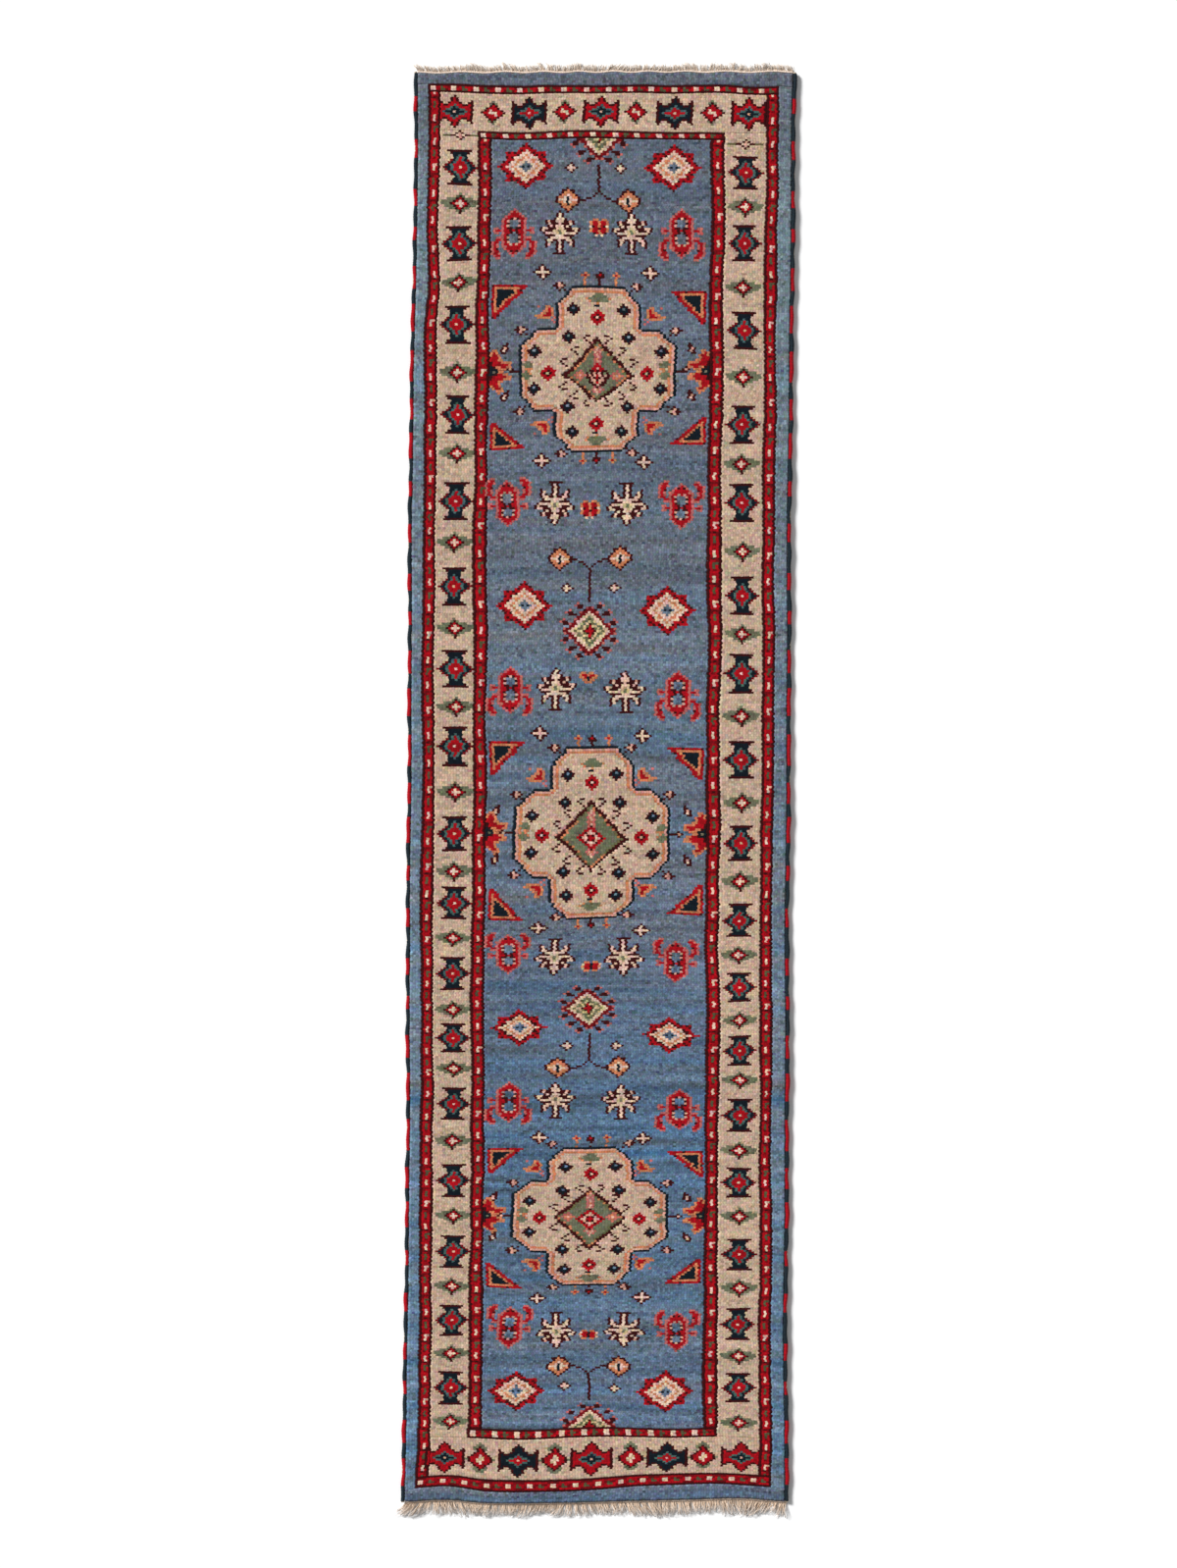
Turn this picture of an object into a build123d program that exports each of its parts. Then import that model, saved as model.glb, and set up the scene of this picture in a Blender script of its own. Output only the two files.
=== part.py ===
"""Hand-knotted wool runner rug, lying flat on the floor.

Millimetres. +Y runs along the rug, +X across it, +Z up. The origin is on the
floor under the middle of the rug's bounding box. The warps run along Y, and
come out at both ends as the fringes. The end at +Y has the shorter fringe.

The knots are grouped into one solid for each zone of the design: plain outer
bands, dotted guard stripes, main border, field and medallions.
"""
from build123d import *
import os

# ---- overall size ----
RUG_LENGTH = 2424.0          # over both fringes
RUG_WIDTH = 640.0            # over both selvedges
PILE_WIDTH = 624.0           # knotted width between the selvedges

# ---- heights above the floor ----
LAYER = 1.0                  # one layer of weft or warp
FOUNDATION_TOP = 3 * LAYER   # weft, warp, weft
PILE_TOP = 10.0
WEAVE_TOP = 2.0              # flat-woven lip past the last knots
FRINGE_THICKNESS = 1.8

# ---- ends, measured along the rug ----
WEAVE_LENGTH = 5.0
FRINGE_LENGTH = {"top": 13.5, "bottom": 25.0}
PILE_TOP_END = RUG_LENGTH / 2 - FRINGE_LENGTH["top"] - WEAVE_LENGTH
PILE_BOTTOM_END = -RUG_LENGTH / 2 + FRINGE_LENGTH["bottom"] + WEAVE_LENGTH

# ---- zones of the design, from the edge inwards ----
# Name, knots wide on the left, knots wide on the right, depth at the top, depth at the bottom.
KNOTS_ACROSS = 138
KNOT = PILE_WIDTH / KNOTS_ACROSS
ZONES = (
    ("edge_band", 4, 5, 19.0, 20.0),
    ("outer_guard", 5, 5, 14.0, 20.0),
    ("main_border", 14, 15, 64.0, 66.0),
    ("inner_guard", 5, 5, 13.0, 16.0),
)

# ---- medallions: name, centre along the rug, height along the rug ----
MEDALLIONS = (
    ("north", 700.0, 272.0),
    ("centre", -70.0, 274.0),
    ("south", -705.0, 229.0),
)
MEDALLION_WIDTH = 253.0
# One quarter of a medallion, as shares of its half width and half height.
MEDALLION_QUARTER = ((1.0, 0.31), (0.77, 0.52), (0.54, 0.52), (0.54, 0.81), (0.34, 1.0))
HEART_WIDTH = 118.0          # diamond in the middle of each medallion
HEART_SHARE = 0.42           # its height, as a share of the medallion's

# ---- selvedges: a cord core overcast with wool in two colours ----
SELVEDGE_RADIUS = 4.4
CORE_RADIUS = 2.6
SELVEDGE_HEIGHT = 5.0        # its axis above the floor
WRAP_LENGTHS = (38.0, 25.0, 46.0, 31.0, 52.0, 28.0, 35.0, 22.0, 43.0)

# ---- end cords and fringe ----
TWINING_RADIUS = 1.5
TWINING_HEIGHT = 3.1
TWINING_INSET = 2.0          # its axis past the last knots
TASSELS = 52
TASSEL_GAP = 1.2
FRINGE_ROOT = 4.0            # length over which the tassels are still one sheet


def slab(left, right, low, high, bottom, top):
    """A block between two positions on each axis."""
    size = (right - left, high - low, top - bottom)
    middle = ((left + right) / 2, (low + high) / 2, (bottom + top) / 2)
    return Pos(*middle) * Box(*size)


def plate(points, bottom, top):
    """A flat plate with the given closed outline."""
    outline = Polyline(*points, close=True)
    return Pos(0, 0, bottom) * extrude(make_face(outline), amount=top - bottom)


def rod(radius, low, high, x, z):
    """A round bar along the rug, between two positions on Y."""
    bar = Cylinder(radius, high - low, rotation=(90, 0, 0))
    return Pos(x, (low + high) / 2, z) * bar


def foundation():
    """The woven ground: a sheet of warps between two layers of weft."""
    half = PILE_WIDTH / 2
    ends = (PILE_BOTTOM_END, PILE_TOP_END)
    warps = slab(-half, half, *ends, LAYER, 2 * LAYER)
    back = slab(-half, half, *ends, 0, LAYER)
    face = slab(-half, half, *ends, 2 * LAYER, FOUNDATION_TOP)
    return {"warp_threads": warps, "weft_threads": Compound(children=[back, face])}


def border_zones():
    """Four bars of pile for each zone, and the rectangle that is left inside them."""
    parts = {}
    left, right = -PILE_WIDTH / 2, PILE_WIDTH / 2
    bottom, top = PILE_BOTTOM_END, PILE_TOP_END
    heights = (FOUNDATION_TOP, PILE_TOP)
    for name, left_knots, right_knots, top_depth, bottom_depth in ZONES:
        inner_left = left + left_knots * KNOT
        inner_right = right - right_knots * KNOT
        inner_top = top - top_depth
        inner_bottom = bottom + bottom_depth
        parts[f"pile_{name}_top"] = slab(left, right, inner_top, top, *heights)
        parts[f"pile_{name}_bottom"] = slab(left, right, bottom, inner_bottom, *heights)
        parts[f"pile_{name}_left"] = slab(left, inner_left, inner_bottom, inner_top, *heights)
        parts[f"pile_{name}_right"] = slab(inner_right, right, inner_bottom, inner_top, *heights)
        left, right = inner_left, inner_right
        bottom, top = inner_bottom, inner_top
    return parts, (left, right, bottom, top)


def medallion_outline(middle, centre, height):
    """The stepped cross of one medallion, anticlockwise from its right side."""
    quarter = [(x * MEDALLION_WIDTH / 2, y * height / 2) for x, y in MEDALLION_QUARTER]
    left_top = [(-x, y) for x, y in reversed(quarter)]
    left_bottom = [(-x, -y) for x, y in quarter]
    right_bottom = [(x, -y) for x, y in reversed(quarter)]
    ring = quarter + left_top + left_bottom + right_bottom
    return [(middle + x, centre + y) for x, y in ring]


def heart_outline(middle, centre, height):
    """The diamond in the middle of one medallion."""
    across = HEART_WIDTH / 2
    along = height * HEART_SHARE / 2
    tips = [(across, 0), (0, along), (-across, 0), (0, -along)]
    return [(middle + x, centre + y) for x, y in tips]


def medallions(middle):
    """Each medallion's ground as a ring, and its diamond heart as a piece of its own."""
    parts = {}
    for name, centre, height in MEDALLIONS:
        heart = plate(heart_outline(middle, centre, height), FOUNDATION_TOP, PILE_TOP)
        whole = plate(medallion_outline(middle, centre, height), FOUNDATION_TOP, PILE_TOP)
        parts[f"pile_medallion_{name}"] = whole - heart
        parts[f"pile_medallion_heart_{name}"] = heart
    return parts


def field(left, right, bottom, top):
    """The field, in four stretches that meet at the medallions' middles."""
    middle = (left + right) / 2
    cuts = [top] + [centre for _, centre, _ in MEDALLIONS] + [bottom]
    names = ("north", "mid_north", "mid_south", "south")
    outlines = [medallion_outline(middle, centre, height) for _, centre, height in MEDALLIONS]
    parts = {}
    for name, high, low in zip(names, cuts, cuts[1:]):
        stretch = slab(left, right, low, high, FOUNDATION_TOP, PILE_TOP)
        for outline in outlines:
            stretch = stretch - plate(outline, FOUNDATION_TOP, PILE_TOP)
        parts[f"pile_field_{name}"] = stretch
    return parts


def wrap_segments(side):
    """The overcast wool of one selvedge, as tubes that alternate in colour."""
    centre = side * (RUG_WIDTH / 2 - SELVEDGE_RADIUS)
    inward = slab(0, PILE_WIDTH / 2, PILE_BOTTOM_END, PILE_TOP_END, 0, PILE_TOP)
    if side < 0:
        inward = mirror(inward, about=Plane.YZ)
    groups = ([], [])
    high = PILE_TOP_END
    turn = 0
    while high > PILE_BOTTOM_END:
        low = max(high - WRAP_LENGTHS[turn % len(WRAP_LENGTHS)], PILE_BOTTOM_END)
        sleeve = rod(SELVEDGE_RADIUS, low, high, centre, SELVEDGE_HEIGHT)
        sleeve = sleeve - rod(CORE_RADIUS, low, high, centre, SELVEDGE_HEIGHT) - inward
        groups[turn % 2].append(sleeve)
        high = low
        turn += 1
    return [Compound(children=group) for group in groups]


def selvedges():
    """Both long edges: a cord core in a two-coloured overcast wrap."""
    parts = {}
    for label, side in (("left", -1), ("right", 1)):
        centre = side * (RUG_WIDTH / 2 - SELVEDGE_RADIUS)
        core = rod(CORE_RADIUS, PILE_BOTTOM_END, PILE_TOP_END, centre, SELVEDGE_HEIGHT)
        navy, red = wrap_segments(side)
        parts[f"selvedge_core_{label}"] = core
        parts[f"selvedge_wrap_navy_{label}"] = navy
        parts[f"selvedge_wrap_red_{label}"] = red
    return parts


def fringe_comb(start, end):
    """One fringe: a root sheet of warp ends that divides into tassels."""
    half = PILE_WIDTH / 2
    outward = 1 if end > start else -1
    root_end = start + outward * FRINGE_ROOT
    comb = slab(-half, half, min(start, root_end), max(start, root_end), 0, FRINGE_THICKNESS)
    pitch = PILE_WIDTH / TASSELS
    for index in range(TASSELS):
        left = -half + index * pitch + TASSEL_GAP / 2
        right = left + pitch - TASSEL_GAP
        low, high = min(start, end), max(start, end)
        comb = comb + slab(left, right, low, high, 0, FRINGE_THICKNESS)
    return comb


def end_finish(label, pile_end, outward):
    """Past the last knots: flat-woven lip, twined cord on it, and the fringe."""
    half = PILE_WIDTH / 2
    lip_end = pile_end + outward * WEAVE_LENGTH
    lip = slab(-half, half, min(pile_end, lip_end), max(pile_end, lip_end), 0, WEAVE_TOP)
    cord = Cylinder(TWINING_RADIUS, PILE_WIDTH, rotation=(0, 90, 0))
    cord = Pos(0, pile_end + outward * TWINING_INSET, TWINING_HEIGHT) * cord
    fringe = fringe_comb(lip_end, lip_end + outward * FRINGE_LENGTH[label])
    return {
        f"end_weave_{label}": lip,
        f"end_twining_{label}": cord - lip,
        f"fringe_{label}": fringe,
    }


def build():
    """Every part of the rug, by the name of its node."""
    zones, (left, right, bottom, top) = border_zones()
    parts = foundation()
    parts.update(zones)
    parts.update(field(left, right, bottom, top))
    parts.update(medallions((left + right) / 2))
    parts.update(selvedges())
    parts.update(end_finish("top", PILE_TOP_END, 1))
    parts.update(end_finish("bottom", PILE_BOTTOM_END, -1))
    return parts


os.makedirs("parts", exist_ok=True)
for node, solid in build().items():
    export_step(solid, f"parts/{node}.step")
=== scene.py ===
"""Looks of the hand-knotted runner rug: knotted pile, overcast selvedges, fringed ends.

Metres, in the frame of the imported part: the warps run along Y, the rug lies on Z = 0.
The design is knotted from a weaver's chart that this script draws, one knot at a time.
"""

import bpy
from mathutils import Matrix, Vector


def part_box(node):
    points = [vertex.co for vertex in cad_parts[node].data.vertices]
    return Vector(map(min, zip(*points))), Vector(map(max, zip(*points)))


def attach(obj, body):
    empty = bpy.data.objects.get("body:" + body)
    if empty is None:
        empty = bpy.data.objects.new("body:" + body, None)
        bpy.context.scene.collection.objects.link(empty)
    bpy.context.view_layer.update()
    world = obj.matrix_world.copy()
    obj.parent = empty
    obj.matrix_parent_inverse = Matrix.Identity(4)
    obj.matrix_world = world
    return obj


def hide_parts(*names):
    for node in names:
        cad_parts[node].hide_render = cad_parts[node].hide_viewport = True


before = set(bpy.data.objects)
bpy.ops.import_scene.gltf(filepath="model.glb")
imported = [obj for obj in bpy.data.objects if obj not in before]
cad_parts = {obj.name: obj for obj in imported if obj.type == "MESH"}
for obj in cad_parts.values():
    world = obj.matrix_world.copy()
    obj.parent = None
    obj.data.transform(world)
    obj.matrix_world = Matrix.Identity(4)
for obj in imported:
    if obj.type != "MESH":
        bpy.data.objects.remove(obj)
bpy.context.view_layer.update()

import math

import bpy
import numpy as np

# ---- the weaver's chart: one letter for each knot ----
# . leaves the ground, i pale ivory, k pink, r crimson, d dark red, m maroon, n navy,
# g sage green, q dark green, t teal, s salmon, a apricot, y pale gold, o olive,
# b field blue, B blue of the end bands, S blue of the side bands and the spots,
# I ivory of the border and the medallions.

# Knots in each zone, from the edge inwards: blue band, guard, main border, guard.
TOP_ROWS = (5, 4, 17, 4)
BOTTOM_ROWS = (6, 6, 20, 5)
LEFT_KNOTS = (4, 5, 14, 5)
RIGHT_KNOTS = (5, 5, 15, 5)
FIELD_ROWS = 597
FIELD_KNOTS = 80
ROWS = sum(TOP_ROWS) + FIELD_ROWS + sum(BOTTOM_ROWS)
COLS = sum(LEFT_KNOTS) + FIELD_KNOTS + sum(RIGHT_KNOTS)
FIELD_TOP = sum(TOP_ROWS)
FIELD_END = FIELD_TOP + FIELD_ROWS
FIELD_LEFT = sum(LEFT_KNOTS)

# half() mirrors a chart that stops at its middle column, and quarter() one that stops at its
# middle row too.
BEETLE = """
........s
.......sr
......srr
.....srrr
....srrmk
....srkbb
....srmbb
....srkbb
.ss.srmmb
.srrsrrmr
.ss.srrmb
....srmbb
..sssrkbb
..rrsrmbb
srr.srkbb
srs.srrkr
srs.ssrrr
srm..srrr
srr...smr
srrs...sr
.srr....s
..ss.....
"""
FLOWER = """
.......m
......mi
......mi
.....mii
..mkmmii
..mimmmi
...mimii
miimmmiy
mimmmiyg
.miiiiyg
..mmmmii
...miiii
..miimmi
..mim.mi
..mi..mi
..m...mi
......mi
......mi
.....mmm
"""
ROSETTE = """
.aa.
arra
arra
imra
arrm
arra
.mra
..i.
"""
SPRIG = """
.aa.
arra
aarn
.aan
..aa
"""
FIGURE = """
.aa.
irrn
arrm
"""
SMALL_DIAMOND = """
....m
..mma
..maa
.maai
maain
miiin
maain
.maan
..maa
...ma
....m
"""
CROSS = """
...m
..mi
.mmi
miii
"""
LITTLE_CROSS = """
..m
.mi
mii
"""
HOURGLASS = """
..mmmmm
...mnnn
....nnn
....nnt
....ntr
...dntr
..dntrr
.dntrrr
dnntrri
"""
HOURGLASS_LYING = """
......m
.....mr
m....mr
mm..mrr
mrmmrrt
mrrrrtn
mrrttnn
mrtnnnk
"""
LARGE_LYING = """
.......m
......mr
.....mrr
m....mrr
mm..mrrr
mrmmrrrt
mrrrrrtn
mrrrttnn
mrrtnnnk
"""
END_DIAMOND = """
.....g.....
....ggg....
...ggmgg...
...gmrmg...
....mrm....
...mrrrm...
..mrrirrm..
.mrrriyrrm.
gmrriyirrmg
.mrryirrrm.
..mrrirrm..
...mrrrm...
...gmrmg...
...ggmgg...
....ggg....
"""
TOP_DIAMOND = """
....g....
...gmg...
...mrm...
..mrrrm..
.mrirrrm.
mrriiirrm
.mrrrirm.
..mrrrm..
...mrm...
...gmg...
....g....
"""
SLIM_DIAMOND = """
......m
.....mk
ooommik
"""
BORDER_DIAMOND = """
......g
.....gm
..gggmr
ggggmri
gggmrii
.gggmri
...ggmr
.....gm
......m
"""
SPOT = """
..m
.mn
mnS
mnn
.mn
..m
"""
RED_SPOT = """
..r
.rr
rrm
rmi
"""
CAP = """
...ggg...
..ggggg..
aggggggga
.aggoggg.
....a....
...nn....
"""
BLOB = """
.gg.
gggo
.ggg
..aa
.ga.
ggga
oggg
.gg.
"""
LEAF = """
.s..aa..
....ara.
...aara.
..aarra.
aaarrra.
.aaaaa.s
......s.
.......s
"""
SEED = """
m.m..
.mkm.
mkkmm
.mkm.
"""
BUD = """
..m
.mm
mkm
mim
mm.
"""
HOOK = """
mm.
..m
.m.
m..
"""
HALF_STAR = """
.aa.....
ara.....
arra....
rrra....
rrraa...
mrrraaaa
mrrrrrra
nmaarraa
nnnaaa..
ngnaa...
nnmrraa.
mrrrrraa
mrrrraaa
rrraa...
rrra....
arra....
.arra...
..aaa...
...a....
"""
RED_HEART = """
.....m
....rr
...rrk
..rmki
.rrkmr
rmkirr
"""
DARK_HEART = """
....r
...rr
..rrk
.mmrm
m.mkm
mkmkr
mmkmr
.mkkm
.mmkr
..mmk
....m
"""


def chart(text):
    """A chart's letters as an array."""
    return np.array([list(line) for line in text.split()])


def half(text):
    """A chart drawn up to its middle column, with the mirrored half added."""
    left = chart(text)
    return np.hstack([left, left[:, -2::-1]])


def quarter(text):
    """A chart drawn up to its middle column and row, with the rest mirrored."""
    top = half(text)
    return np.vstack([top, top[-2::-1]])


def stamp(cloth, motif, col, row):
    """Knots a motif into the cloth with its middle at that column and row."""
    high, wide = motif.shape
    top, left = round(row - (high - 1) / 2), round(col - (wide - 1) / 2)
    for (r, c), letter in np.ndenumerate(motif):
        if letter != "." and 0 <= top + r < ROWS and 0 <= left + c < COLS:
            cloth[top + r, left + c] = letter


def line(cloth, letter, cells):
    """Single knots of one colour."""
    for col, row in cells:
        cloth[round(row), round(col)] = letter


def frame_of(level):
    """First row, end row, first column and end column inside that many zones."""
    return (
        sum(TOP_ROWS[:level]),
        ROWS - sum(BOTTOM_ROWS[:level]),
        sum(LEFT_KNOTS[:level]),
        COLS - sum(RIGHT_KNOTS[:level]),
    )


def fill_zones(cloth):
    """Blue band, then red guard, ivory border and red guard round the blue field."""
    for level, letter in enumerate("BrIrb"):
        top, bottom, left, right = frame_of(level)
        cloth[top:bottom, left:right] = letter
    top, bottom, left, right = frame_of(1)
    cloth[top:bottom, :left] = cloth[top:bottom, right:] = "S"


CELL_ROWS = 5.6              # one red cell of an upright guard stripe
CELL_KNOTS = 4               # one red cell of a level one
MARK_FROM, MARK_TO = 2, 4.9  # rows of an upright cell that its mark takes up


def guard(cloth, level):
    """A guard stripe: maroon edges, and marks in two colours on red cells."""
    top, bottom, left, right = frame_of(level)
    in_top, in_bottom, _, in_right = frame_of(level + 1)
    for start in (left, in_right):
        for row in range(top, bottom):
            cell, step = divmod(row - top, CELL_ROWS)
            stripe = list("mdmdm" if step < 1 and cell % 2 else "mrrrm")
            if MARK_FROM <= step < MARK_TO:
                stripe[2] = "iq"[int(cell) % 2]
            elif cell % 2:
                stripe[1 + int(2 * step) % 3] = "d"
            if MARK_FROM <= step < MARK_FROM + 1 and cell % 3 == 0:
                stripe[3] = "kq"[int(cell) % 2]
            cloth[row, start:start + len(stripe)] = stripe
    for first, end in ((top, in_top), (in_bottom, bottom)):
        middle = (first + end) / 2
        for col in range(left + 1, right - 1):
            cell, step = divmod(col - left, CELL_KNOTS)
            for row in range(first, end):
                edge = row in (first, end - 1)
                level_middle = abs(row + 0.5 - middle) <= 1
                dotted = level_middle and (step == 1 or step == 2 and (cell % 2 == 0 or row % 2))
                plain = "rrd"[(cell + row) % 3]
                cloth[row, col] = "m" if edge else ("iq"[cell % 2] if dotted else plain)


# Middle rows of the border's motifs. The two sides were not knotted quite in step.
HOURGLASS_ROWS = {
    "left": (42, 74, 110, 148, 186, 223, 259, 293, 330, 360, 395, 427, 461, 500, 537, 572, 606),
    "right": (44, 74, 112, 153, 187, 227, 261, 298, 334, 368, 402, 434, 467, 501, 538, 573, 606),
}
DIAMOND_ROWS = {
    "left": (28, 57, 91, 130, 165, 204, 241, 276, 312, 346, 377, 413, 443, 480, 518, 555, 588, 623),
    "right": (31, 59, 93, 132, 170, 208, 244, 279, 317, 350, 386, 419, 449, 485, 518, 555, 590, 624),
}
SIDE_MIDDLE = {"left": 15.5, "right": 120}
TALL_GAP = 35                # rows between two diamonds that leave room for a tall hourglass
WAIST_ROWS = (2, 14)         # the rows that a short hourglass leaves out
# Middle row, hourglass and diamond of the border at each end.
END_BORDERS = ((17, HOURGLASS_LYING, TOP_DIAMOND), (ROWS - 22.5, LARGE_LYING, END_DIAMOND))
END_HOURGLASSES = (14, 41, 67, 94, 121)      # red and navy in turn
END_DIAMONDS = (27.5, 54, 80.5, 107.5)


def main_border(cloth):
    """Hourglasses and diamonds in turn, up both sides and along both ends."""
    tall = quarter(HOURGLASS)
    short = np.delete(tall, WAIST_ROWS, axis=0)
    for side, middle in SIDE_MIDDLE.items():
        rows = DIAMOND_ROWS[side]
        stamp(cloth, quarter(SLIM_DIAMOND), middle, rows[0])
        for row in rows[1:]:
            stamp(cloth, half(BORDER_DIAMOND), middle, row)
        for row, above, below in zip(HOURGLASS_ROWS[side], rows, rows[1:]):
            stamp(cloth, tall if below - above >= TALL_GAP else short, middle, row)
    for row, lying, small in END_BORDERS:
        red = quarter(lying)
        navy = np.select([red == "r", red == "n"], ["n", "r"], red)
        for number, col in enumerate(END_HOURGLASSES):
            stamp(cloth, (red, navy)[number % 2], col, row)
        for col in END_DIAMONDS:
            stamp(cloth, chart(small), col, row)


# How far out each ring of a palmette reaches, and its letter.
PALMETTE_RINGS = (
    (2.1, "r"), (3.1, "m"), (4.6, "y"), (6.2, "g"), (7.2, "y"), (8.6, "i"), (10.6, "d"),
)
BEADS = 11.4                 # single knots lie between the last ring and here
# Where the loops sit round a palmette: knots across, rows along.
LOOPS = ((2.5, 10), (6, 7.2), (8.2, 3))


def palmette(cloth, col, row):
    """A diamond ringed with beads and loops, cut off where the field ends."""
    loop = chart(".s.\nsmm\n.mm")
    for dy in range(-13, 14):
        if not FIELD_TOP <= row + dy < FIELD_END:
            continue
        for dx in range(-12, 13):
            ring = 1.12 * abs(dx) + abs(dy)
            letters = [letter for limit, letter in PALMETTE_RINGS if ring <= limit]
            place = (round(row + dy), round(col + dx))
            if letters:
                patchy = letters[0] in "gy" and (dx + 2 * dy) % 5 == 0
                cloth[place] = "o" if patchy else letters[0]
            elif ring <= BEADS and dx % 2:
                cloth[place] = "s"
    for sx in (-1, 1):
        for sy in (-1, 1):
            for hx, hy in LOOPS:
                if FIELD_TOP + 1 <= row + sy * hy < FIELD_END - 1:
                    stamp(cloth, loop[::-sy, ::-sx], col + sx * (hx + 1), row + sy * (hy + 1))
                    line(cloth, "m", [(col + sx * (hx - 0.5), row + sy * (hy - 0.5))])


FORK = ((1, 0), (2, 1), (3, 2), (4, 2), (5, 3), (6, 3), (7, 3))      # one arm: knots, rows


def stem(cloth, col, row, rows, way):
    """A maroon stem that forks to two small diamonds. way is 1 if the fork is below."""
    line(cloth, "m", [(col, row + way * step) for step in range(rows)])
    end = row + way * rows
    for side in (-1, 1):
        line(cloth, "m", [(col + side * dx, end + way * dy) for dx, dy in FORK])
        stamp(cloth, half(SMALL_DIAMOND), col + side * 11, end + way * 3)


TRIANGLE_KNOTS = 12          # its level leg


def triangle(cloth, col, row, side, way, rows):
    """A right triangle with its upright leg beside the guard and its level leg at row."""
    for step in range(rows):
        reach = round(TRIANGLE_KNOTS * (1 - step / rows))
        for dx in range(reach + 1):
            edge = min(dx, step, 0.75 * (reach - dx))
            letter = "r" if edge < 1 else ("a" if edge < 1.9 else "n")
            if edge < 0.7 and (dx + 2 * step) % 7 == 0:
                letter = "m"
            cloth[row + way * step, col + side * dx] = letter


STAR_KNOTS = 10              # from the middle of a star to its side points
SQUARE_KNOTS = 7.1           # from its middle to the sides of its square
SQUARE_SHARE = 0.64          # the square's height as a share of the star's
STAR_RINGS = ((0.7, "i"), (0.54, "a"), (0.42, "i"), (0.28, "b"))


def star(cloth, col, row, rows):
    """An eight-pointed star, a square set over a diamond, that many rows high."""
    high = rows / 2
    for dy in range(-math.ceil(high), math.ceil(high) + 1):
        for dx in range(-STAR_KNOTS, STAR_KNOTS + 1):
            across, along = abs(dx), abs(dy)
            diamond = across / STAR_KNOTS + along / (high + 0.4)
            square = max(across / SQUARE_KNOTS, along / (SQUARE_SHARE * high))
            ring = min(diamond, 1.1 * square)
            letter = "."
            if min(diamond, square) <= 1:
                letter = "m" if ring <= 0.76 or (3 * dx + 5 * dy) % 7 < 2 else "r"
            for limit, inside in STAR_RINGS:
                if ring <= limit:
                    letter = inside
            if across == 1 and along == 0:
                letter = "n"
            if letter != ".":
                cloth[row + dy, col + dx] = letter


def half_star(cloth, col, row, side):
    """Half of a star of leaves that grows out of the inner guard."""
    leaves = chart(HALF_STAR)
    top = round(row) - len(leaves) // 2
    for (r, c), letter in np.ndenumerate(leaves):
        if letter != ".":
            cloth[top + r, col + side * c] = letter


# Each medallion: middle knot and row, and rows to its ends. Then its heart: how many rows lower
# its middle is, rows up and down to its tips, what is in its middle, and if it has side arms.
MEDALLIONS = {
    "north": (67, 129.5, 35.5, 2.5, 16.3, 11.7, half(DARK_HEART), True),
    "centre": (66, 330, 37, 2, 16.3, 14, quarter(RED_HEART), False),
    "south": (66, 518, 35.5, 0.5, 15.6, 16, quarter(RED_HEART), True),
}
HEART_KNOTS = 13.2           # from a heart's middle to its side tips


def medallion_reach(dy):
    """How many knots wide half a medallion is, at that share of the way to its end."""
    return np.interp(abs(dy), (0, 0.31, 0.518, 0.521, 0.81, 1), (28, 28, 21.5, 15, 15, 9.4))


def eaten(mask):
    """The mask without its outermost ring of knots."""
    inner = mask.copy()
    inner[1:] &= mask[:-1]
    inner[:-1] &= mask[1:]
    inner[:, 1:] &= mask[:, :-1]
    inner[:, :-1] &= mask[:, 1:]
    return inner


def medallion_mask(col, row, end):
    """Which knots a medallion takes up."""
    rows, cols = np.mgrid[:ROWS, :COLS]
    reach = medallion_reach((rows - row) / end)
    return (abs(cols - col) <= reach) & (abs(rows - row) <= end)


def heart_rings(col, row, up, down):
    """How far each knot is from the middle of a heart, as a share of the way to its edge."""
    rows, cols = np.mgrid[:ROWS, :COLS]
    return abs(cols - col) / HEART_KNOTS + abs(rows - row) / np.where(rows < row, up, down)


def heart(cloth, col, row, up, down, middle, side_arms):
    """The diamond in the middle of a medallion, with its arms and hooks."""
    ring = heart_rings(col, row, up, down)
    for r, c in np.argwhere(ring <= 1.06):
        if ring[r, c] <= 0.8:
            cloth[r, c] = "g"
        elif ring[r, c] <= 0.88:
            cloth[r, c] = "oa"[(r + c) // 2 % 2]
        elif ring[r, c] <= 1:
            cloth[r, c] = "m"
        elif (r + c) % 3 == 0:
            cloth[r, c] = "k"
    arm = half(".k\nsk\nks\nsk\nsk\nsa\nsk\nsk")
    stamp(cloth, arm, col, row - 8.5)
    stamp(cloth, half(".sk\n.sa\nska\n.sk\n..k"), col, row + 6.5)
    if side_arms:
        for side in (-1, 1):
            stamp(cloth, half("..s\n.sa\nsak\n.sa\n..s"), col + side * 7.5, row)
    stamp(cloth, middle, col, row)
    hook = chart(HOOK)
    for share in (0.24, 0.56, 0.86):
        for side in (-1, 1):
            hx = side * (HEART_KNOTS * share + 1.2)
            stamp(cloth, hook[:, ::side], col + hx, row - up * (1 - share) - 3)
            stamp(cloth, hook[::-1, ::side], col + hx, row + down * (1 - share) + 3)


# Knots and rows from a medallion's middle. Each navy spot has a twin on the other side.
SPOTS = ((9, -26), (10.5, -14), (22.5, -8), (22.5, 8), (10.5, 16), (9, 27))
RED_SPOTS = ((0, -22), (-18, 1), (18, 1), (0, 24))


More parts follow.
